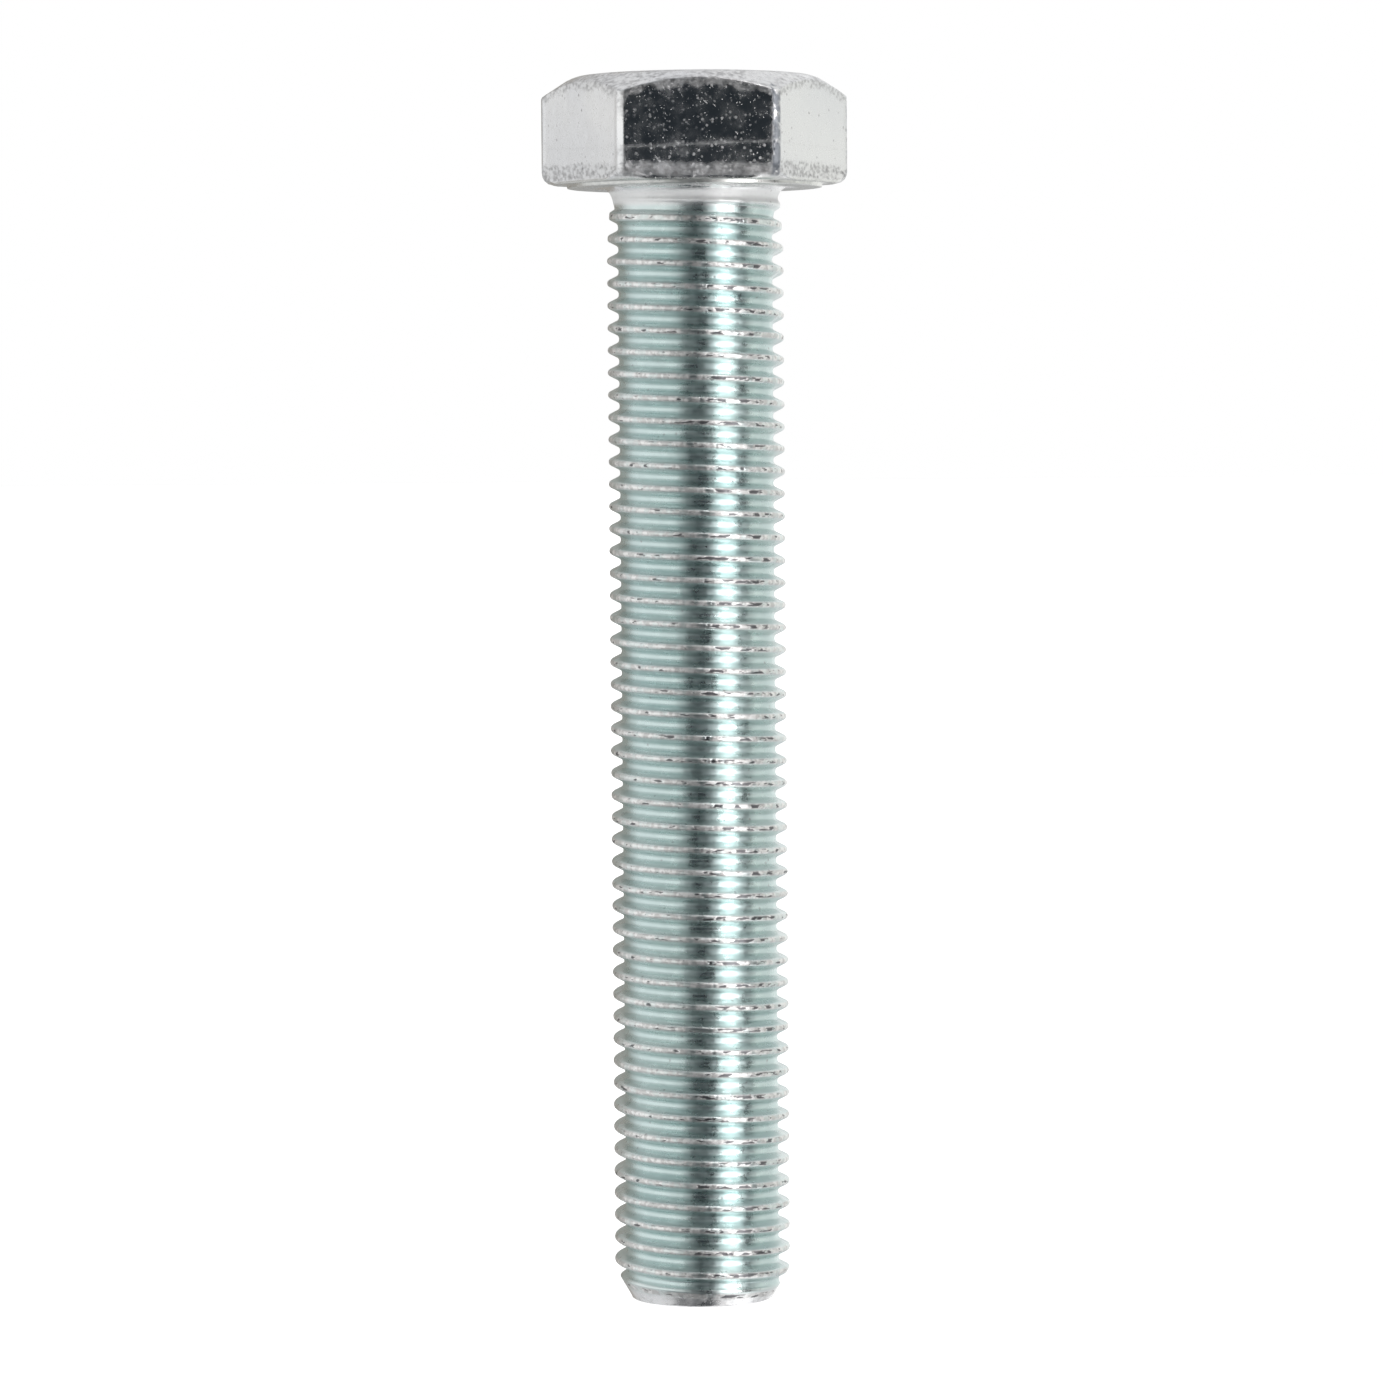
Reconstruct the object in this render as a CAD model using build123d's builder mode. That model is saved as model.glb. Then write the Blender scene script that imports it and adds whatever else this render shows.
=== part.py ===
from build123d import *

import os
from math import cos, radians, tan

# Hex bolt M16 x 2 x 100, threaded over its whole length, forged and rolled from one piece of wire.
# Millimetres, +Z up towards the head. The origin is the centre of the bearing face: the head
# stands on Z = 0 and reaches HEAD_HEIGHT, and the shank hangs below to -LENGTH. Two of the
# wrench flats face -Y and +Y, and two corners of the hexagon point along X.

# Head
ACROSS_FLATS = 24.0
HEAD_HEIGHT = 10.0
CORNER_RADIUS = 1.0  # of the six upright edges
HEAD_TOP_DIAMETER = 20.9  # where the chamfer starts, on the top face
HEAD_CHAMFER = 30.5  # degrees below the level of the top face
HEAD_LOWER_ROUND = 0.9  # of the lower ends of the six corners
WASHER_FACE_DIAMETER = 22.9
WASHER_FACE_HEIGHT = 0.5

# Neck and shank
LENGTH = 100.0
NECK_DIAMETER = 15.0
NECK_FILLET = 0.5
NECK_LENGTH = 1.2
FULL_ROOT = 3.4  # below the bearing face, where the root reaches its full depth
END_DIAMETER = 12.5
END_CHAMFER = 30.0  # degrees from the axis

# Thread
PITCH = 2.0
MAJOR_DIAMETER = 15.9
ROOT_DIAMETER = 13.5
FLANK_ANGLE = 30.0  # degrees, half of the thread's 60
LEFT_HAND = True
FIRST_CREST = 1.46  # below the bearing face, on the +X side
CREST_START = 0.75  # below the bearing face, where the crest leaves the neck
FULL_CREST = 2.3  # below the bearing face, where the crest reaches its full diameter

# Room that the cutting tools and the blank have beyond the finished surfaces
CLEAR = 1.0
SKIM = 0.02  # by which a cutting tool stays off the neck
SPARE_BLANK = 3.5

head_top_radius = HEAD_TOP_DIAMETER / 2
neck_radius = NECK_DIAMETER / 2
end_radius = END_DIAMETER / 2
root_radius = ROOT_DIAMETER / 2
major_radius = MAJOR_DIAMETER / 2
cut_radius = major_radius + CLEAR

# One turn of the thread ridge: a trapezium swept once round the core, its foot buried a little
# in the core. It starts and ends above the +X axis, so turns stacked a pitch apart join up.
BURIED = 0.08
thread_depth = major_radius - root_radius
crest_half_width = PITCH / 16
foot_half_width = crest_half_width + (thread_depth + BURIED) * tan(radians(FLANK_ANGLE))

with BuildPart() as turn:
    with BuildLine() as helix:
        Helix(pitch=PITCH, height=PITCH, radius=root_radius, lefthand=LEFT_HAND)
    with BuildSketch(Plane(origin=(root_radius, 0, 0), x_dir=(1, 0, 0), z_dir=(0, -1, 0))):
        with BuildLine():
            Polyline(
                (-BURIED, -foot_half_width),
                (thread_depth, -crest_half_width),
                (thread_depth, crest_half_width),
                (-BURIED, foot_half_width),
                close=True,
            )
        make_face()
    sweep(path=helix.line, is_frenet=True)

# The shank. The half-plane that its sections are drawn in is turned away from the +X axis, so
# that the seams of the turned surfaces stay clear of the joints between turns.
SEAM_AT = 140.0  # degrees from the +X axis
turning_plane = Plane.XZ.rotated((0, 0, SEAM_AT))
turns = round(LENGTH / PITCH)
crest_slope = (major_radius - neck_radius) / (FULL_CREST - CREST_START)
end_slope = tan(radians(END_CHAMFER))

with BuildPart() as shank:
    # The blank: core, run-out cone, neck and the fillet under the head.
    with BuildSketch(turning_plane):
        with BuildLine():
            Polyline(
                (neck_radius + NECK_FILLET, 0),
                (0, 0),
                (0, -LENGTH - SPARE_BLANK),
                (root_radius, -LENGTH - SPARE_BLANK),
                (root_radius, -FULL_ROOT),
                (neck_radius, -NECK_LENGTH),
                (neck_radius, -NECK_FILLET),
            )
            RadiusArc((neck_radius, -NECK_FILLET), (neck_radius + NECK_FILLET, 0), NECK_FILLET)
        make_face()
    revolve(axis=Axis.Z)
    with Locations(*[(0, 0, -FIRST_CREST - PITCH * (n + 1)) for n in range(turns)]):
        add(turn.part)
    # Under the head the crests start at the neck's own diameter and grow to full size.
    with BuildSketch(turning_plane):
        with BuildLine():
            Polyline(
                (neck_radius + SKIM, -CREST_START - SKIM / crest_slope),
                (cut_radius, -CREST_START - (cut_radius - neck_radius) / crest_slope),
                (cut_radius + CLEAR, -CREST_START - (cut_radius - neck_radius) / crest_slope),
                (cut_radius + CLEAR, -NECK_FILLET),
                (neck_radius + SKIM, -NECK_FILLET - SKIM),
                close=True,
            )
        make_face()
    revolve(axis=Axis.Z, mode=Mode.SUBTRACT)
    # The far end is cut square and chamfered.
    with BuildSketch(turning_plane):
        with BuildLine():
            Polyline(
                (0, -LENGTH),
                (end_radius, -LENGTH),
                (cut_radius, -LENGTH + (cut_radius - end_radius) / end_slope),
                (cut_radius + CLEAR, -LENGTH + (cut_radius - end_radius) / end_slope),
                (cut_radius + CLEAR, -LENGTH - SPARE_BLANK - CLEAR),
                (0, -LENGTH - SPARE_BLANK - CLEAR),
                close=True,
            )
        make_face()
    revolve(axis=Axis.Z, mode=Mode.SUBTRACT)

# The head: a hexagon with rounded upright edges, turned to an outline that chamfers it above and
# rounds its corners below, on a round washer face.
corner_reach = ACROSS_FLATS / 2 / cos(radians(30))
shoulder = HEAD_HEIGHT - (corner_reach - head_top_radius) * tan(radians(HEAD_CHAMFER))
lower_round_start = (corner_reach - HEAD_LOWER_ROUND, WASHER_FACE_HEIGHT)
lower_round_end = (corner_reach, WASHER_FACE_HEIGHT + HEAD_LOWER_ROUND)

with BuildPart() as hex_bolt:
    with BuildSketch(Plane.XY.offset(WASHER_FACE_HEIGHT)) as hexagon:
        RegularPolygon(radius=ACROSS_FLATS / 2, side_count=6, major_radius=False)
        fillet(hexagon.vertices(), CORNER_RADIUS)
    extrude(amount=HEAD_HEIGHT - WASHER_FACE_HEIGHT)
    with BuildSketch(turning_plane):
        with BuildLine():
            Polyline(
                lower_round_end,
                (corner_reach, shoulder),
                (head_top_radius, HEAD_HEIGHT),
                (0, HEAD_HEIGHT),
                (0, WASHER_FACE_HEIGHT),
                lower_round_start,
            )
            RadiusArc(lower_round_start, lower_round_end, -HEAD_LOWER_ROUND)
        make_face()
    revolve(axis=Axis.Z, mode=Mode.INTERSECT)
    with BuildSketch(Plane.XY):
        Circle(WASHER_FACE_DIAMETER / 2)
    extrude(amount=WASHER_FACE_HEIGHT)
    add(shank.part)

hex_bolt.part.label = "hex_bolt"

os.makedirs("parts", exist_ok=True)
export_step(hex_bolt.part, "parts/hex_bolt.step")

box = hex_bolt.part.bounding_box()
print("solids", len(hex_bolt.part.solids()), "valid", hex_bolt.part.is_valid)
print("shank volume", round(shank.part.volume, 2), "bolt volume", round(hex_bolt.part.volume, 2))
print("box", box.min, box.max)
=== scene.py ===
from math import cos, pi, radians, sin, tan

import bmesh
import bpy
import numpy as np
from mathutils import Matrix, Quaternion, Vector


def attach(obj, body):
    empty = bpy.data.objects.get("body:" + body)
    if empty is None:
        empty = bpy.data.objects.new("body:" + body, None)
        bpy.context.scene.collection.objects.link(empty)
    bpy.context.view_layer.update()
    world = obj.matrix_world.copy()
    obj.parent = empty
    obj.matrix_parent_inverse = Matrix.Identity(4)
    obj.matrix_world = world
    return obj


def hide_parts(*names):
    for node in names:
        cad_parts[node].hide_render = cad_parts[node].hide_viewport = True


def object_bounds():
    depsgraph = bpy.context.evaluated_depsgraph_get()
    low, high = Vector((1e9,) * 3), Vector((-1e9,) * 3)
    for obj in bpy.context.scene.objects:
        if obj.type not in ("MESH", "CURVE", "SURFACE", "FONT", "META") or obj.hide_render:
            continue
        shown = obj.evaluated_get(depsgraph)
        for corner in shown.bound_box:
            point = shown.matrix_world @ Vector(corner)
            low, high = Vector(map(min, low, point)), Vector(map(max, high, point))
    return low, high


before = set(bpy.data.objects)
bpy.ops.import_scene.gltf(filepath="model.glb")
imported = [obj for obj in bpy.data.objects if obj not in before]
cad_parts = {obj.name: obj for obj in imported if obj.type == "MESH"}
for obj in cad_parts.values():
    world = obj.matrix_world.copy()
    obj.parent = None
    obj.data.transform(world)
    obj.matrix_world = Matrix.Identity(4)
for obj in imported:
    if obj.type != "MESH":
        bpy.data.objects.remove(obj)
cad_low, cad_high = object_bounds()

# A zinc-plated M16 hex bolt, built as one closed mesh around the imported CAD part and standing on
# the end of its shank. Shape sizes are in millimetres until the mesh is written, in metres.
MM = 0.001

# ---------------------------------------------------------------- sizes

HEAD_HEIGHT = cad_high.z / MM
LENGTH = -cad_low.z / MM
FLAT = cad_high.y / MM  # from the axis to a wrench flat
CORNER = cad_high.x / MM  # from the axis to a rounded corner
SHARP_CORNER = FLAT / cos(radians(30))
CORNER_ROUND = (SHARP_CORNER - CORNER) / (1 / cos(radians(30)) - 1)
REACH = (FLAT - CORNER_ROUND) * tan(radians(30))  # half the width of a flat, between its rounds

CHAMFER_SLOPE = tan(radians(33))
TOP_RADIUS = 10.8  # where the chamfer would meet the top, without the round between them
TOP_ROUND = 0.6  # over which the chamfer runs into the top
LOWER_ROUND = 1.1  # under the corners of the hexagon
LEAST_ROUND = 0.1  # under the middle of a flat
LINE_HEIGHT = 3.45  # of the trimming die's line on each flat
TORN_HEIGHT = 1.75  # of the torn metal below it
WASHER_RADIUS = 11.45
WASHER_HEIGHT = 0.34

PITCH = 2.0
FIRST_CREST = 1.46  # below the bearing face, above the +X axis
MAJOR_RADIUS = 7.93
ROOT_RADIUS = 6.84
FLANK = radians(26.5)  # from square to the axis
CREST_ROUND = 0.36
# A straight flank that touches both rounds fixes the sum of their radii
THREAD_DEPTH = MAJOR_RADIUS - ROOT_RADIUS
BOTH_ROUNDS = (PITCH / 2 * cos(FLANK) - THREAD_DEPTH * sin(FLANK)) / (1 - sin(FLANK))
ROOT_ROUND = BOTH_ROUNDS - CREST_ROUND

END_RADIUS = 6.33
END_ROUND = 0.2
END_SLOPE = tan(radians(30))

# The neck's hollow curve from the bearing face down to the thread's full depth
NECK_Z = (-3.6, -2.6, -1.8, -1.05, -0.75, -0.45, -0.25, -0.1, 0.0)
NECK_RADIUS = (6.84, 7.02, 7.2, 7.38, 7.47, 7.62, 7.78, 7.96, 8.25)

# The envelope that the first crests grow up to
CREST_Z = (-5.4, -4.46, -3.46, -2.46, -1.46, -0.96, 0.0)
CREST_RADIUS = (8.2, 7.92, 7.8, 7.7, 7.66, 7.35, 6.8)

HELIX_STEPS = 90  # mesh columns in one turn of the thread
FLAT_COLUMNS = 53  # mesh columns across one wrench flat

# How dull each corner of the hexagon is, anticlockwise from +X: oxidised blue grey on most, and on
# the last, the front right corner, painted shade
CORNER_OXIDE_AND_SHADE = (0.3, 0.0, 0.6, 0.2, 0.0, 1.0)

# Added to the place along a flat for each side, so that no two sides have the same wear
SIDE_SHIFT = 17.3


# ---------------------------------------------------------------- noise

def noise2(seed, u, v=0.5, size=64):
    """Smooth noise from -1 to 1 on a plane, one feature per unit of u and v."""
    table = np.random.default_rng(seed).uniform(-1, 1, (size, size))
    u, v = np.broadcast_arrays(np.asarray(u, float), np.asarray(v, float))
    iu, iv = np.floor(u).astype(int), np.floor(v).astype(int)
    fu, fv = u - iu, v - iv
    fu, fv = fu * fu * (3 - 2 * fu), fv * fv * (3 - 2 * fv)
    u0, u1, v0, v1 = iu % size, (iu + 1) % size, iv % size, (iv + 1) % size
    near = table[u0, v0] * (1 - fu) + table[u1, v0] * fu
    far = table[u0, v1] * (1 - fu) + table[u1, v1] * fu
    return near * (1 - fv) + far * fv


def soft_min(a, b, blend):
    """The lower of a and b, with the corner between them rounded over blend."""
    h = np.maximum(blend - np.abs(a - b), 0) / blend
    return np.minimum(a, b) - h * h * blend / 4


def soft_max(a, b, blend):
    return -soft_min(-np.asarray(a), -np.asarray(b), blend)


def smooth(low, high, x):
    """0 at low and 1 at high, with a soft step between them; low may be the larger."""
    t = np.clip((np.asarray(x) - low) / (high - low), 0, 1)
    return t * t * (3 - 2 * t)


# ---------------------------------------------------------------- thread

def crest_offset(angle, z):
    """Axial distance from the nearest crest line of the left-hand thread."""
    turns = (z + FIRST_CREST) / PITCH + angle / (2 * pi)
    return (turns - np.round(turns)) * PITCH


def thread_radius(offset):
    """The rolled form: straight flanks between a round crest and a round root."""
    from_crest = np.abs(offset)
    from_root = PITCH / 2 - from_crest
    crest = MAJOR_RADIUS - CREST_ROUND + np.sqrt(np.maximum(CREST_ROUND**2 - from_crest**2, 0))
    root = ROOT_RADIUS + ROOT_ROUND - np.sqrt(np.maximum(ROOT_ROUND**2 - from_root**2, 0))
    edge = CREST_ROUND * cos(FLANK)
    flank = MAJOR_RADIUS - CREST_ROUND * (1 - sin(FLANK)) - (from_crest - edge) / tan(FLANK)
    in_root = from_root < ROOT_ROUND * cos(FLANK)
    return np.where(from_crest < edge, crest, np.where(in_root, root, flank))


def shank_radius(angle, z):
    """The thread between the neck, where its crests are low, and the chamfered end."""
    radius = thread_radius(crest_offset(angle, z))
    radius = soft_min(radius, np.interp(z, CREST_Z, CREST_RADIUS), 0.25)
    radius = soft_max(radius, np.interp(z, NECK_Z, NECK_RADIUS), 0.22)
    return soft_min(radius, END_RADIUS + (z + LENGTH) * END_SLOPE, 0.12)


def profile_offsets():
    """Axial steps of one pitch, from a crest down to the next, closer together on the curves."""
    crest_edge = CREST_ROUND * cos(FLANK)
    root_edge = PITCH / 2 - ROOT_ROUND * cos(FLANK)
    half = [crest_edge * share for share in (0.33, 0.66, 1.0)]
    half += [crest_edge + 0.06, root_edge - 0.05, root_edge]
    half += [root_edge + (PITCH / 2 - root_edge) * share for share in (0.35, 0.7)]
    return np.array([0, *half, PITCH / 2, *(PITCH - x for x in reversed(half))])


def add_thread(mesh):
    """The helical grid: its rows run along the crest line, and each turn's last row is the next
    turn's first. It is longer than the shank at both ends and is cut to length afterwards."""
    offsets = profile_offsets()
    rows = len(offsets)
    steps = int((LENGTH / PITCH + 4) * HELIX_STEPS)
    step = np.arange(steps)
    angle = np.repeat(2 * pi * step / HELIX_STEPS, rows)
    z = (2 * PITCH - FIRST_CREST - PITCH * step[:, None] / HELIX_STEPS - offsets[None, :]).ravel()
    radius = shank_radius(angle, z)

    # Handling marks: the crest line is a little wavy, dented, and nicked here and there
    along = angle * MAJOR_RADIUS
    on_crest = np.clip(1 - np.abs(crest_offset(angle, z)) / 0.4, 0, 1)
    threaded = smooth(-1.0, -3.0, z)
    dents = 0.012 * noise2(1, along / 1.3) + 0.012 * noise2(3, along / 7, z / 3)
    nicks = 0.18 * np.maximum(noise2(2, along / 1.2) - 0.65, 0)
    radius = radius + on_crest * threaded * (dents - nicks)

    verts = [mesh.verts.new(p) for p in zip(radius * np.cos(angle), radius * np.sin(angle), z)]
    for s in range(steps - 1):
        for r in range(rows):
            here, beside = s * rows + r, (s + 1) * rows + r
            last = r + 1 == rows
            below = (s + HELIX_STEPS) * rows if last else here + 1
            across = (s + 1 + HELIX_STEPS) * rows if last else beside + 1
            if across < len(verts):
                mesh.faces.new((verts[here], verts[below], verts[across], verts[beside]))


def cut(mesh, height, keep_below):
    """Cuts the mesh square across at a height and returns the new rim as a loop of vertices."""
    bmesh.ops.bisect_plane(
        mesh,
        geom=mesh.verts[:] + mesh.edges[:] + mesh.faces[:],
        plane_co=(0, 0, height),
        plane_no=(0, 0, 1 if keep_below else -1),
        clear_outer=True,
    )
    rim = [v for v in mesh.verts if v.is_boundary and abs(v.co.z - height) < 1e-4]
    bmesh.ops.remove_doubles(mesh, verts=rim, dist=0.03)
    return sorted((v for v in rim if v.is_valid), key=angle_of)


# ---------------------------------------------------------------- rings

def angle_of(v):
    return np.arctan2(v.co.y, v.co.x) % (2 * pi)


def circle_at(mesh, angles, radius, z):
    """New vertices at the given angles; radius and z are numbers or one value for each angle."""
    radii, heights = np.broadcast_to(radius, len(angles)), np.broadcast_to(z, len(angles))
    return [mesh.verts.new((r * cos(a), r * sin(a), h)) for a, r, h in zip(angles, radii, heights)]


def even_angles(count):
    return np.arange(count) * 2 * pi / count


def join_equal(mesh, low, high):
    """Quads between two loops of the same length."""
    n = len(low)
    for i in range(n):
        j = (i + 1) % n
        mesh.faces.new((low[i], low[j], high[j], high[i]))


def join_unequal(mesh, low, high):
    """Triangles between two loops of different length, each sorted by angle."""
    low_angles = [angle_of(v) for v in low] + [angle_of(low[0]) + 2 * pi]
    high_angles = [angle_of(v) for v in high] + [angle_of(high[0]) + 2 * pi]
    i = j = 0
    while i < len(low) or j < len(high):
        a, b = low[i % len(low)], high[j % len(high)]
        if j == len(high) or (i < len(low) and low_angles[i + 1] <= high_angles[j + 1]):
            i += 1
            mesh.faces.new((a, low[i % len(low)], b))
        else:
            j += 1
            mesh.faces.new((a, high[j % len(high)], b))


def close_with_rings(mesh, loop, rings):
    """Closes a loop with smaller and smaller rings, given as (count, radius, z), and a centre."""
    for count, radius, z in rings:
        ring = circle_at(mesh, even_angles(count), radius, z)
        join_unequal(mesh, loop, ring)
        loop = ring
    centre = mesh.verts.new((0, 0, rings[-1][2]))
    for i in range(len(loop)):
        mesh.faces.new((loop[i], loop[(i + 1) % len(loop)], centre))


# ---------------------------------------------------------------- head

def hexagon_columns():
    """Angle, radius, across and side of the rounded hexagon's columns, anticlockwise from +X.
    across runs along each flat from its middle and on round half of each corner."""
    columns = []
    for side in range(6):
        facing = radians(30 + 60 * side)
        normal, tangent = (cos(facing), sin(facing)), (-sin(facing), cos(facing))
        for across in np.linspace(-REACH, REACH, FLAT_COLUMNS):
            point = [normal[k] * FLAT + tangent[k] * across for k in (0, 1)]
            columns.append(point + [across, side])
        for turn in (10, 20, 30, 40, 50):
            way = facing + radians(turn)
            hub = [normal[k] * (FLAT - CORNER_ROUND) + tangent[k] * REACH for k in (0, 1)]
            point = [hub[0] + CORNER_ROUND * cos(way), hub[1] + CORNER_ROUND * sin(way)]
            if turn <= 30:
                columns.append(point + [REACH + CORNER_ROUND * radians(turn), side])
            else:
                columns.append(point + [-REACH - CORNER_ROUND * radians(60 - turn), (side + 1) % 6])
    x, y, across, side = np.array(columns).T
    angle = np.arctan2(y, x) % (2 * pi)
    order = np.argsort(angle)
    return angle[order], np.hypot(x, y)[order], across[order], side[order]


def trim_line(across, side):
    """Height of the thin raised line that the trimming die leaves on each flat."""
    rise = 0.03 * across * np.where(side % 2 == 0, 1, -0.6)
    return LINE_HEIGHT + rise + 0.07 * noise2(5, across / 2.2 + side * SIDE_SHIFT)


def torn_edge(across, side):
    """Height up to which the metal is torn along the bottom of each flat."""
    where = across + side * SIDE_SHIFT
    wander = 0.16 * noise2(6, where / 2.4) + 0.1 * noise2(12, where / 0.7)
    return TORN_HEIGHT - 0.025 * across + wander


def flat_relief(across, side, z):
    """How far the flats stand in (negative) or out: torn metal, the trim line and dents."""
    where = across + side * SIDE_SHIFT
    torn = 1 - smooth(-0.08, 0.1, z - torn_edge(across, side))
    relief = -torn * (0.05 + 0.012 * noise2(7, where / 0.8, z / 0.5))
    from_line = z - trim_line(across, side)
    raised = np.where(side % 2 == 0, 0.045, 0.012)
    relief += raised * np.exp(-((from_line / 0.12) ** 2)) * (0.9 + 0.2 * noise2(14, where / 1.1))
    relief -= 0.012 * (1 - smooth(-0.1, 0.1, from_line))
    relief -= 0.05 * np.maximum(noise2(8, where / 0.7, z / 0.7) - 0.7, 0)
    return relief + 0.004 * noise2(9, where / 2.5, z / 2.5) - 0.045


def top_height(radius):
    """The flat top and the chamfer, with the round between them."""
    return soft_min(HEAD_HEIGHT, HEAD_HEIGHT - (radius - TOP_RADIUS) * CHAMFER_SLOPE, TOP_ROUND)


def add_head(mesh, neck_rim):
    """Rows of vertices from the bearing face, out round the hexagon, to the middle of the top."""
    angle, outline, across, side = hexagon_columns()
    at_corner = smooth(REACH - 0.3, REACH + 0.3, np.abs(across))

    # The bearing face, the washer face's rim, and the underside of the hexagon
    rows = [
        (9.4, 0.0),
        (WASHER_RADIUS - 0.2, 0.0),
        (WASHER_RADIUS - 0.04, 0.03),
        (WASHER_RADIUS, 0.1),
        (WASHER_RADIUS, WASHER_HEIGHT - 0.05),
        (WASHER_RADIUS + 0.03, WASHER_HEIGHT),
    ]
    to_corner = smooth(FLAT + 0.6, CORNER, outline)
    lower_round = LEAST_ROUND + (LOWER_ROUND - LEAST_ROUND) * to_corner
    round_width = 0.9 * lower_round
    start = outline - round_width
    rows.append((0.5 * (WASHER_RADIUS + 0.1 + start), WASHER_HEIGHT))
    ragged = 0.05 * noise2(15, across / 0.6 + side * SIDE_SHIFT) * (1 - at_corner)
    for turn in (0, 25, 50, 70):
        t = radians(turn)
        height = WASHER_HEIGHT + lower_round * (1 - cos(t)) + ragged * sin(t)
        rows.append((start + round_width * sin(t), height))

    # The flats: rows that follow the torn edge and the trim line, so that both are crisp
    bottom = WASHER_HEIGHT + lower_round + 0.03
    torn, line = np.maximum(torn_edge(across, side), bottom + 0.2), trim_line(across, side)
    top = top_height(outline) - 0.16
    torn_low, torn_high, line_low, line_high = torn - 0.12, torn + 0.12, line - 0.15, line + 0.15
    heights = [bottom + (torn_low - bottom) * share for share in np.linspace(0, 1, 9)]
    heights += [torn, torn_high]
    heights += [torn_high + (line_low - torn_high) * share for share in np.linspace(0.2, 0.8, 5)]
    heights += [line_low, line - 0.08, line, line + 0.08, line_high]
    heights += [line_high + (top - line_high) * share for share in np.linspace(0.06, 1, 17)]
    for z in heights:
        rows.append((outline + flat_relief(across, side, z) * (1 - at_corner), z))

    # The chamfer, after a round of about 0.15 mm on its outer edge, and then the flat top
    for inward, drop in ((0.025, 0.075), (0.09, 0.0)):
        rows.append((outline - inward, top_height(outline - inward) - drop))
    chamfer_start = outline - 0.22
    for share in (0.0, 0.14, 0.28, 0.42, 0.56, 0.7, 0.85, 1.0):
        radius = chamfer_start + (9.7 - chamfer_start) * share
        rough = 0.012 * noise2(11, angle * 14, share * 6) * (1 - share)
        rows.append((radius, top_height(radius) - 0.005 + rough))

    previous = None
    for radius, z in rows:
        row = circle_at(mesh, angle, radius, z)
        if previous is None:
            join_unequal(mesh, neck_rim, row)
        else:
            join_equal(mesh, previous, row)
        previous = row
    rings = ((180, 8.6), (90, 6.4), (45, 4.0), (20, 1.8))
    top = HEAD_HEIGHT - 0.015
    close_with_rings(mesh, previous, [(count, radius, top) for count, radius in rings])


def add_end(mesh, rim):
    """The end of the shank: a small round, then the sheared face with a shallow dish."""
    edge_radius = END_RADIUS + END_ROUND * END_SLOPE
    angles = [angle_of(v) for v in rim]
    loop = rim
    for turn in (30, 60, 90):
        t = radians(turn)
        radius, rise = edge_radius - 0.25 * (1 - cos(t)), END_ROUND * (1 - sin(t))
        ring = circle_at(mesh, angles, radius, -LENGTH + rise)
        join_equal(mesh, loop, ring)
        loop = ring
    dish = ((96, 5.4, 0.0), (72, 4.4, 0.05), (36, 2.8, 0.14), (18, 1.1, 0.18))
    close_with_rings(mesh, loop, [(count, radius, -LENGTH + rise) for count, radius, rise in dish])


def build_bolt():
    mesh = bmesh.new()
    add_thread(mesh)
    add_head(mesh, cut(mesh, 0, keep_below=True))
    add_end(mesh, cut(mesh, -LENGTH + END_ROUND, keep_below=False))
    bmesh.ops.recalc_face_normals(mesh, faces=mesh.faces[:])
    data = bpy.data.meshes.new("zinc_hex_bolt")
    mesh.to_mesh(data)
    mesh.free()
    return data


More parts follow.
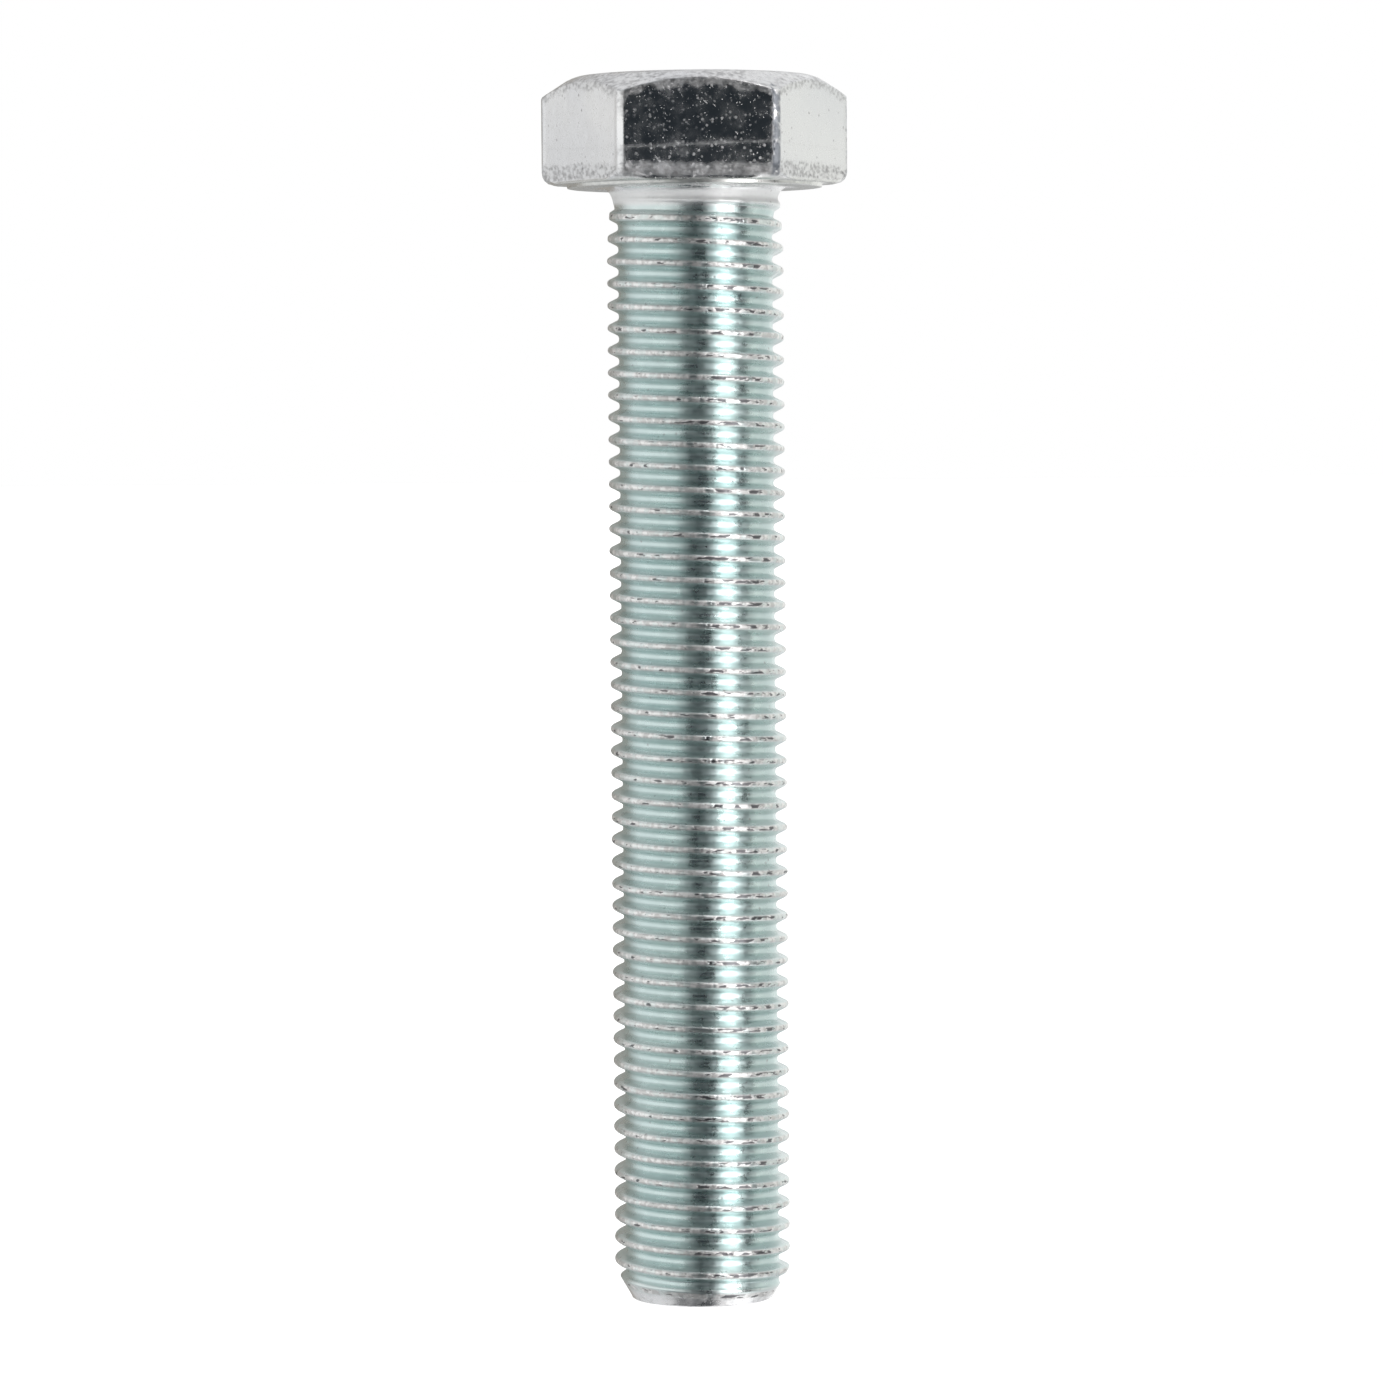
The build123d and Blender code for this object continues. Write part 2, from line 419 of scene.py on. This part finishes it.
def add_masks(data):
    """Values at each vertex that the material reads, and the change from millimetres to metres."""
    points = np.empty(len(data.vertices) * 3)
    data.vertices.foreach_get("co", points)
    x, y, z = points.reshape(-1, 3).T
    angle, radius = np.arctan2(y, x) % (2 * pi), np.hypot(x, y)
    facing = np.round((np.degrees(angle) - 30) / 60) % 6
    nearest_corner = np.round(np.degrees(angle) / 60).astype(int) % 6
    from_right = np.degrees(angle) - 360  # degrees from +X, with the front at -90
    turned = angle - np.radians(30 + 60 * facing)
    across, depth = radius * np.sin(turned), radius * np.cos(turned)
    on_flat = smooth(FLAT - 0.7, FLAT - 0.3, depth) * smooth(0.5, 0.7, z)
    corner = smooth(REACH - 0.1, REACH + 0.15, np.abs(across)) * smooth(0.4, 0.8, z)
    below_rim = z - top_height(depth / np.cos(turned))
    from_crest = np.abs(crest_offset(angle, z))
    from_line = z - trim_line(across, facing)
    line_strength = np.where(facing % 2, 0.2, 1)

    # Each is 1 where its name holds, 0 away from it, and in between along the edge
    masks = {
        "threaded": smooth(-1.2, -2.2, z) * smooth(-LENGTH + 0.2, -LENGTH + 1.4, z),
        "crest": np.clip(1 - from_crest / 0.5, 0, 1) * smooth(-1.2, -2.2, z),
        "root": np.clip(1 - (PITCH / 2 - from_crest) / 0.5, 0, 1),
        "neck": smooth(-1.8, -1.1, z) * smooth(-0.15, -0.55, z),
        "line": on_flat * np.exp(-((from_line / 0.14) ** 2)) * line_strength,
        # painted shade: more dark fold dashes on the crests right of the front, where the strip
        # light's highlight lies
        "highlight_dimming": smooth(-100, -80, from_right) * smooth(-25, -50, from_right),
        "torn": on_flat * (1 - smooth(-0.3, 0.4, z - torn_edge(across, facing))),
        "chamfer": smooth(-0.55, -0.1, below_rim) * smooth(9.5, 11.2, radius),
        "rim": on_flat * smooth(-1.3, -0.1, below_rim),
        "below_line": on_flat * smooth(0.1, -0.2, from_line),
        "top": smooth(HEAD_HEIGHT - 0.3, HEAD_HEIGHT - 0.1, z) * smooth(10.7, 9.6, radius),
        "corner": corner,
        # painted shade on the front right corner, oxidation on the others
        "dull": corner * np.take(CORNER_OXIDE_AND_SHADE, nearest_corner),
        "washer": smooth(0.55, 0.45, z) * smooth(-0.3, -0.1, z) * smooth(8.4, 9.5, radius),
        "tip": smooth(-LENGTH + 1.3, -LENGTH + 0.7, z),
    }
    for name, values in masks.items():
        layer = data.attributes.new(name, "FLOAT", "POINT")
        layer.data.foreach_set("value", values.astype(np.float32))
    data.vertices.foreach_set("co", (points * MM).astype(np.float32))
    data.shade_smooth()
    data.update()


# ---------------------------------------------------------------- material

def add_node(tree, kind, inputs=None, **settings):
    """A node with its sockets set: a value is stored, and another node's output is linked."""
    made = tree.nodes.new(kind)
    for name, value in settings.items():
        setattr(made, name, value)
    for name, value in (inputs or {}).items():
        socket = made.inputs[name]
        if isinstance(value, bpy.types.NodeSocket):
            tree.links.new(value, socket)
        else:
            socket.default_value = value
    return made


def calculate(tree, operation, *values):
    inputs = dict(enumerate(values))
    return add_node(tree, "ShaderNodeMath", inputs, operation=operation).outputs[0]


def chained(tree, operation, values):
    """One value from many: the first two are calculated, then the result and the third, and on."""
    result = values[0]
    for value in values[1:]:
        result = calculate(tree, operation, result, value)
    return result


def product(tree, *values):
    return chained(tree, "MULTIPLY", values)


def total(tree, *values):
    return chained(tree, "ADD", values)


def highest(tree, *values):
    return chained(tree, "MAXIMUM", values)


def between(tree, value, low, high, to_low=0.0, to_high=1.0):
    """A soft step from to_low, where the value is low, to to_high, where it is high."""
    inputs = {
        "Value": value,
        "From Min": low,
        "From Max": high,
        "To Min": to_low,
        "To Max": to_high,
    }
    made = add_node(tree, "ShaderNodeMapRange", inputs, interpolation_type="SMOOTHSTEP")
    return made.outputs["Result"]


def mix_colour(tree, share, a, b):
    """Colour a where the share is 0 and b where it is 1."""
    made = add_node(tree, "ShaderNodeMix", {"Factor": share}, data_type="RGBA")
    for socket, value in ((made.inputs[6], a), (made.inputs[7], b)):
        if isinstance(value, bpy.types.NodeSocket):
            tree.links.new(value, socket)
        else:
            socket.default_value = (*value, 1)
    return made.outputs[2]


def noise(tree, where, scale, detail=2.0, distortion=0.0):
    inputs = {"Vector": where, "Scale": scale, "Detail": detail, "Distortion": distortion}
    return add_node(tree, "ShaderNodeTexNoise", inputs).outputs["Fac"]


def stretched(tree, where, scale, turn=(0, 0, 0)):
    """Coordinates turned and then scaled differently along each axis, for streaks and scratches."""
    turned = add_node(tree, "ShaderNodeMapping", {"Vector": where, "Rotation": turn})
    inputs = {"Vector": turned.outputs["Vector"], "Scale": scale}
    return add_node(tree, "ShaderNodeMapping", inputs).outputs["Vector"]


def mask(tree, name):
    """One of the values that add_masks stores at the vertices."""
    return add_node(tree, "ShaderNodeAttribute", attribute_name=name).outputs["Fac"]


def zinc_material():
    """Noise scales count features in a metre: 1000 gives spots about a millimetre wide."""
    material = bpy.data.materials.new("blue_white_zinc")
    material.use_nodes = True
    tree = material.node_tree
    tree.nodes.clear()
    where = add_node(tree, "ShaderNodeTexCoord").outputs["Object"]
    threaded, crest, neck, tip = (mask(tree, name) for name in ("threaded", "crest", "neck", "tip"))
    top, chamfer, corner = (mask(tree, name) for name in ("top", "chamfer", "corner"))
    below_line, washer = mask(tree, "below_line"), mask(tree, "washer")
    smooth_head = calculate(tree, "SUBTRACT", 1.0, threaded)

    # Plating: neutral on the head, blue-green in the thread, with slow cloudy change
    cloud = between(tree, noise(tree, where, 110.0, 3.0), 0.35, 0.65)
    head = mix_colour(tree, cloud, (0.80, 0.81, 0.825), (0.86, 0.865, 0.865))
    flank = mix_colour(tree, cloud, (0.62, 0.715, 0.71), (0.68, 0.755, 0.745))
    in_root = between(tree, mask(tree, "root"), 0.2, 0.8)
    thread = mix_colour(tree, in_root, flank, (0.60, 0.725, 0.72))
    colour = mix_colour(tree, threaded, head, thread)
    colour = mix_colour(tree, product(tree, washer, 0.8), colour, (0.70, 0.71, 0.685))
    colour = mix_colour(tree, product(tree, neck, 0.8), colour, (0.69, 0.70, 0.70))
    colour = mix_colour(tree, product(tree, top, 0.9), colour, (0.66, 0.67, 0.68))
    colour = mix_colour(tree, product(tree, tip, 0.9), colour, (0.95, 0.95, 0.955))

    # The crests are bare of the blue-green film, in a broken line
    broken = between(tree, noise(tree, where, 900.0, 2.0), 0.30, 0.55)
    crest_line = product(tree, between(tree, crest, 0.34, 0.70), highest(tree, broken, 0.4))
    speckle = between(tree, noise(tree, where, 2100.0, 2.0), 0.42, 0.60)
    bare = mix_colour(tree, speckle, (0.66, 0.66, 0.65), (0.90, 0.90, 0.89))
    colour = mix_colour(tree, crest_line, colour, bare)

    # Folds where the rolled metal met along the crest: dark pits in short dashes, made denser right
    # of the front, where the strip light's highlight falls on the crests, as painted shade that
    # dims that highlight
    seams = noise(tree, stretched(tree, where, (900, 900, 2500)), 1.0, 2.0)
    seams = total(tree, seams, product(tree, mask(tree, "highlight_dimming"), 0.12))
    fold = product(tree, between(tree, crest, 0.50, 0.85), between(tree, seams, 0.61, 0.68))
    colour = mix_colour(tree, product(tree, fold, 0.9), colour, (0.10, 0.10, 0.11))

    # Scuffed places: the torn band, the trim line, the chamfer and its rim, and in patches the
    # corners, the end, the washer face and the top
    patchy = between(tree, noise(tree, where, 320.0, 4.0), 0.42, 0.58)
    blotchy = noise(tree, stretched(tree, where, (2200, 2200, 2900)), 1.0, 5.0)
    clustered = product(tree, noise(tree, where, 420.0, 2.0), 0.6)
    torn = between(tree, total(tree, mask(tree, "torn"), blotchy, clustered), 0.90, 1.80)
    ragged = product(tree, noise(tree, where, 900.0, 3.0), 1.4)
    rim = between(tree, total(tree, mask(tree, "rim"), ragged), 0.95, 1.5)
    scuffed = highest(
        tree,
        torn,
        product(tree, mask(tree, "line"), 0.7),
        product(tree, rim, 0.9),
        product(tree, chamfer, highest(tree, patchy, 0.4)),
        product(tree, corner, patchy, 0.8),
        product(tree, tip, patchy, 0.6),
        product(tree, washer, patchy, 0.4),
        product(tree, top, patchy, 0.4),
    )
    stain = product(tree, scuffed, between(tree, blotchy, 0.36, 0.68))
    colour = mix_colour(tree, product(tree, stain, 0.78), colour, (0.40, 0.40, 0.405))

    # Pimples on the head, crowded below the trim line, and a few pits everywhere, all a tenth of a
    # millimetre wide
    cells = add_node(tree, "ShaderNodeTexVoronoi", {"Vector": where, "Scale": 2400.0})
    dot = between(tree, cells.outputs["Distance"], 0.46, 0.05)
    chosen = add_node(tree, "ShaderNodeSeparateColor", {0: cells.outputs["Color"]}).outputs
    crowded = between(tree, noise(tree, where, 190.0, 2.0), 0.36, 0.60, 0.55, 1.0)
    crowded = total(tree, crowded, product(tree, below_line, 0.5))
    pimple = product(tree, dot, between(tree, chosen[0], 0.15, 0.95), crowded, smooth_head)
    pit = product(tree, dot, between(tree, chosen[1], 0.96, 0.975))
    colour = mix_colour(tree, product(tree, pit, 0.7), colour, (0.34, 0.33, 0.34))

    # The dull corners are darkened to a blue grey, except where they are knocked bright: oxidation
    # on most, and painted shade on the front right corner
    kept = between(tree, noise(tree, where, 1300.0, 3.0), 0.66, 0.44)
    # painted shade on the front right corner, oxidised blue grey on the others
    oxide_and_shade = product(tree, mask(tree, "dull"), kept)
    colour = mix_colour(tree, product(tree, oxide_and_shade, 0.95), colour, (0.35, 0.375, 0.41))

    # Hair scratches on the head in three directions, and rolling streaks along the thread
    scratches = 0.0
    for k, turn in enumerate(((0.4, 0.3, 0.5), (-0.5, 0.7, 1.6), (0.9, -0.8, 2.6))):
        lines = noise(tree, stretched(tree, where, (500, 6500, 6500), turn), 1.0, 1.0, 0.2 * k)
        scratches = highest(tree, scratches, between(tree, lines, 0.68, 0.78))
    scratches = product(tree, scratches, smooth_head)
    streaks = noise(tree, stretched(tree, where, (260, 260, 7000)), 1.0, 2.0)
    grain = noise(tree, where, 5200.0, 3.0)

    rough = between(tree, noise(tree, where, 900.0, 3.0), 0.3, 0.7, 0.12, 0.26)
    rough = total(
        tree,
        rough,
        product(tree, scuffed, 0.22),
        product(tree, oxide_and_shade, 0.4),
        product(tree, pimple, 0.34),
        product(tree, below_line, 0.05),
        product(tree, top, 0.62),
        product(tree, neck, 0.35),
        product(tree, washer, 0.06),
        product(tree, crest_line, 0.1),
        product(tree, threaded, 0.12),
    )

    # Only the unrolled neck is so dull that it looks painted
    metal = between(tree, neck, 0.0, 1.0, 1.0, 0.55)

    height = total(
        tree,
        product(tree, pimple, 0.06),
        product(tree, pit, -0.5),
        product(tree, scratches, 0.3),
        product(tree, total(tree, streaks, noise(tree, where, 1300.0, 2.0)), threaded, 0.55),
        product(tree, grain, 0.15),
        product(tree, noise(tree, where, 2600.0, 2.0), crest_line, 1.2),
        product(tree, fold, -1.2),
        product(tree, noise(tree, where, 1500.0, 4.0), scuffed, 1.0),
    )
    bump = add_node(tree, "ShaderNodeBump", {"Distance": 0.02 * MM, "Height": height})

    surface = {
        "Base Color": colour,
        "Metallic": metal,
        "Roughness": rough,
        "Normal": bump.outputs["Normal"],
    }
    shader = add_node(tree, "ShaderNodeBsdfPrincipled", surface)
    add_node(tree, "ShaderNodeOutputMaterial", {"Surface": shader.outputs[0]})
    return material


# ---------------------------------------------------------------- studio

def window(tree, value, rise, full, fade, gone):
    """1 from full to fade, and 0 before rise and after gone."""
    fading = between(tree, value, fade, gone, 1.0, 0.0)
    return product(tree, between(tree, value, rise, full), fading)


def studio_world():
    """A light tent, bright all round. Azimuths are in degrees from -Y, towards +X. The front is
    dark, where the photographer stands, and so is a floor patch to its left. To its right are a
    strip light, the strip's dark edge, and the light that the strip spills on the floor."""
    world = bpy.data.worlds.new("light_tent")
    bpy.context.scene.world = world
    world.use_nodes = True
    tree = world.node_tree
    tree.nodes.clear()
    direction = add_node(tree, "ShaderNodeTexCoord").outputs["Generated"]
    x, y, z = add_node(tree, "ShaderNodeSeparateXYZ", {0: direction}).outputs
    turned = calculate(tree, "ARCTAN2", x, product(tree, y, -1.0))
    azimuth = product(tree, turned, 180 / pi)
    elevation = product(tree, calculate(tree, "ARCSINE", z), 180 / pi)

    walls = (
        (-180, (0.36, 0.34, 0.31)),
        (-142, (0.36, 0.34, 0.31)),
        (-126, (0.56, 0.55, 0.54)),
        (-118, (0.87, 0.87, 0.87)),
        (-100, (1.05, 1.05, 1.05)),
        (92, (1.05, 1.05, 1.0)),
        (118, (0.80, 0.81, 0.79)),
        (150, (1.1, 1.1, 1.08)),
        (170, (1.0, 1.0, 1.0)),
        (178, (0.35, 0.35, 0.35)),
    )
    share = calculate(tree, "DIVIDE", total(tree, azimuth, 180.0), 360.0)
    ramp = add_node(tree, "ShaderNodeValToRGB", {"Fac": share})
    elements = ramp.color_ramp.elements
    while len(elements) < len(walls):
        elements.new(0.5)
    for element, (degrees, colour) in zip(elements, walls):
        element.position = (degrees + 180) / 360
        element.color = (*colour, 1)

    # Overhead the tent is brighter behind the bolt than in front, and the floor is nearly even
    behind = between(tree, y, -0.3, 0.3)
    above = mix_colour(tree, behind, (0.55, 0.57, 0.58), (0.82, 0.82, 0.83))
    below = mix_colour(tree, behind, (0.75, 0.75, 0.75), (0.68, 0.69, 0.70))
    tent = mix_colour(tree, between(tree, elevation, 18, 45), ramp.outputs["Color"], above)
    tent = mix_colour(tree, between(tree, elevation, -14, -34), tent, below)

    # The photographer's dark side: black near the level, and dark grey up to straight overhead
    ahead = window(tree, azimuth, -32, -14, 24, 31)
    level = window(tree, elevation, -24, -14, 30, 50)
    tent = mix_colour(tree, product(tree, ahead, 0.85), tent, (0.02, 0.025, 0.03))
    tent = mix_colour(tree, product(tree, ahead, level), tent, (0.02, 0.025, 0.03))

    # The dark patch of floor in front and to the left
    low_left = window(tree, azimuth, -90, -62, 36, 46)
    shade = product(tree, low_left, between(tree, elevation, -38, -50))
    tent = mix_colour(tree, product(tree, shade, 0.8), tent, (0.04, 0.045, 0.05))

    # The strip's dark edge, its spill on the floor, and the strip light over both
    beside_strip = window(tree, azimuth, 57, 62, 79, 88)
    edge = product(tree, beside_strip, window(tree, elevation, -45, -32, 60, 75))
    tent = mix_colour(tree, edge, tent, (0.03, 0.035, 0.04))
    low_right = window(tree, azimuth, 50, 62, 140, 158)
    spill = product(tree, low_right, between(tree, elevation, -38, -52))
    tent = mix_colour(tree, spill, tent, (1.25, 1.25, 1.25))
    in_strip = window(tree, azimuth, 27, 35, 53, 61)
    strip = product(tree, in_strip, window(tree, elevation, -55, -44, 70, 85))
    tent = mix_colour(tree, strip, tent, (3.6, 3.5, 3.5))

    # The camera itself sees plain white behind the bolt
    inside = add_node(tree, "ShaderNodeBackground", {"Color": tent}).outputs[0]
    backdrop = add_node(tree, "ShaderNodeBackground", {"Color": (1, 1, 1, 1)}).outputs[0]
    seen = add_node(tree, "ShaderNodeLightPath").outputs["Is Camera Ray"]
    both = add_node(tree, "ShaderNodeMixShader", {0: seen, 1: inside, 2: backdrop})
    add_node(tree, "ShaderNodeOutputWorld", {"Surface": both.outputs[0]})


def pale_floor():
    """A wide white floor under the end of the shank, glowing a little, as a lit table does."""
    half, level = 6.0, cad_low.z - 0.02 * MM
    corners = ((-half, -half), (half, -half), (half, half), (-half, half))
    data = bpy.data.meshes.new("floor")
    data.from_pydata([(x, y, level) for x, y in corners], [], [(0, 1, 2, 3)])
    floor = bpy.data.objects.new("floor", data)
    bpy.context.scene.collection.objects.link(floor)
    material = bpy.data.materials.new("lit_white_table")
    material.use_nodes = True
    shader = material.node_tree.nodes["Principled BSDF"]
    shader.inputs["Base Color"].default_value = (0.8, 0.8, 0.8, 1)
    shader.inputs["Roughness"].default_value = 0.9
    shader.inputs["Emission Color"].default_value = (1, 1, 1, 1)
    shader.inputs["Emission Strength"].default_value = 0.7
    data.materials.append(material)
    floor.visible_glossy = False


def camera():
    """A long lens half a metre away, level with the upper part of the shank, aimed at its middle
    and rolled a little, so that the shank leans in the picture."""
    distance, turn, drop, roll = 0.4982, radians(-1.8), radians(2.87), radians(-0.432)
    data = bpy.data.cameras.new("camera")
    data.lens = 143.97
    data.sensor_width = 36.0
    data.clip_start = 0.01
    made = bpy.data.objects.new("camera", data)
    bpy.context.scene.collection.objects.link(made)
    back = Vector((sin(turn) * cos(drop), -cos(turn) * cos(drop), sin(drop)))
    aim = (cad_low + cad_high) / 2 + Vector((-0.63 * MM, 0, -0.18 * MM))
    made.location = aim + back * distance
    made.rotation_mode = "QUATERNION"
    made.rotation_quaternion = (-back).to_track_quat("-Z", "Y") @ Quaternion((0, 0, 1), roll)
    bpy.context.scene.camera = made


# ---------------------------------------------------------------- scene

bolt_data = build_bolt()
add_masks(bolt_data)
bolt_data.materials.append(zinc_material())
bolt = bpy.data.objects.new("zinc_hex_bolt", bolt_data)
bpy.context.scene.collection.objects.link(bolt)
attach(bolt, "root")
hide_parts("hex_bolt")

studio_world()
pale_floor()
camera()
bpy.context.scene.view_settings.view_transform = "Standard"
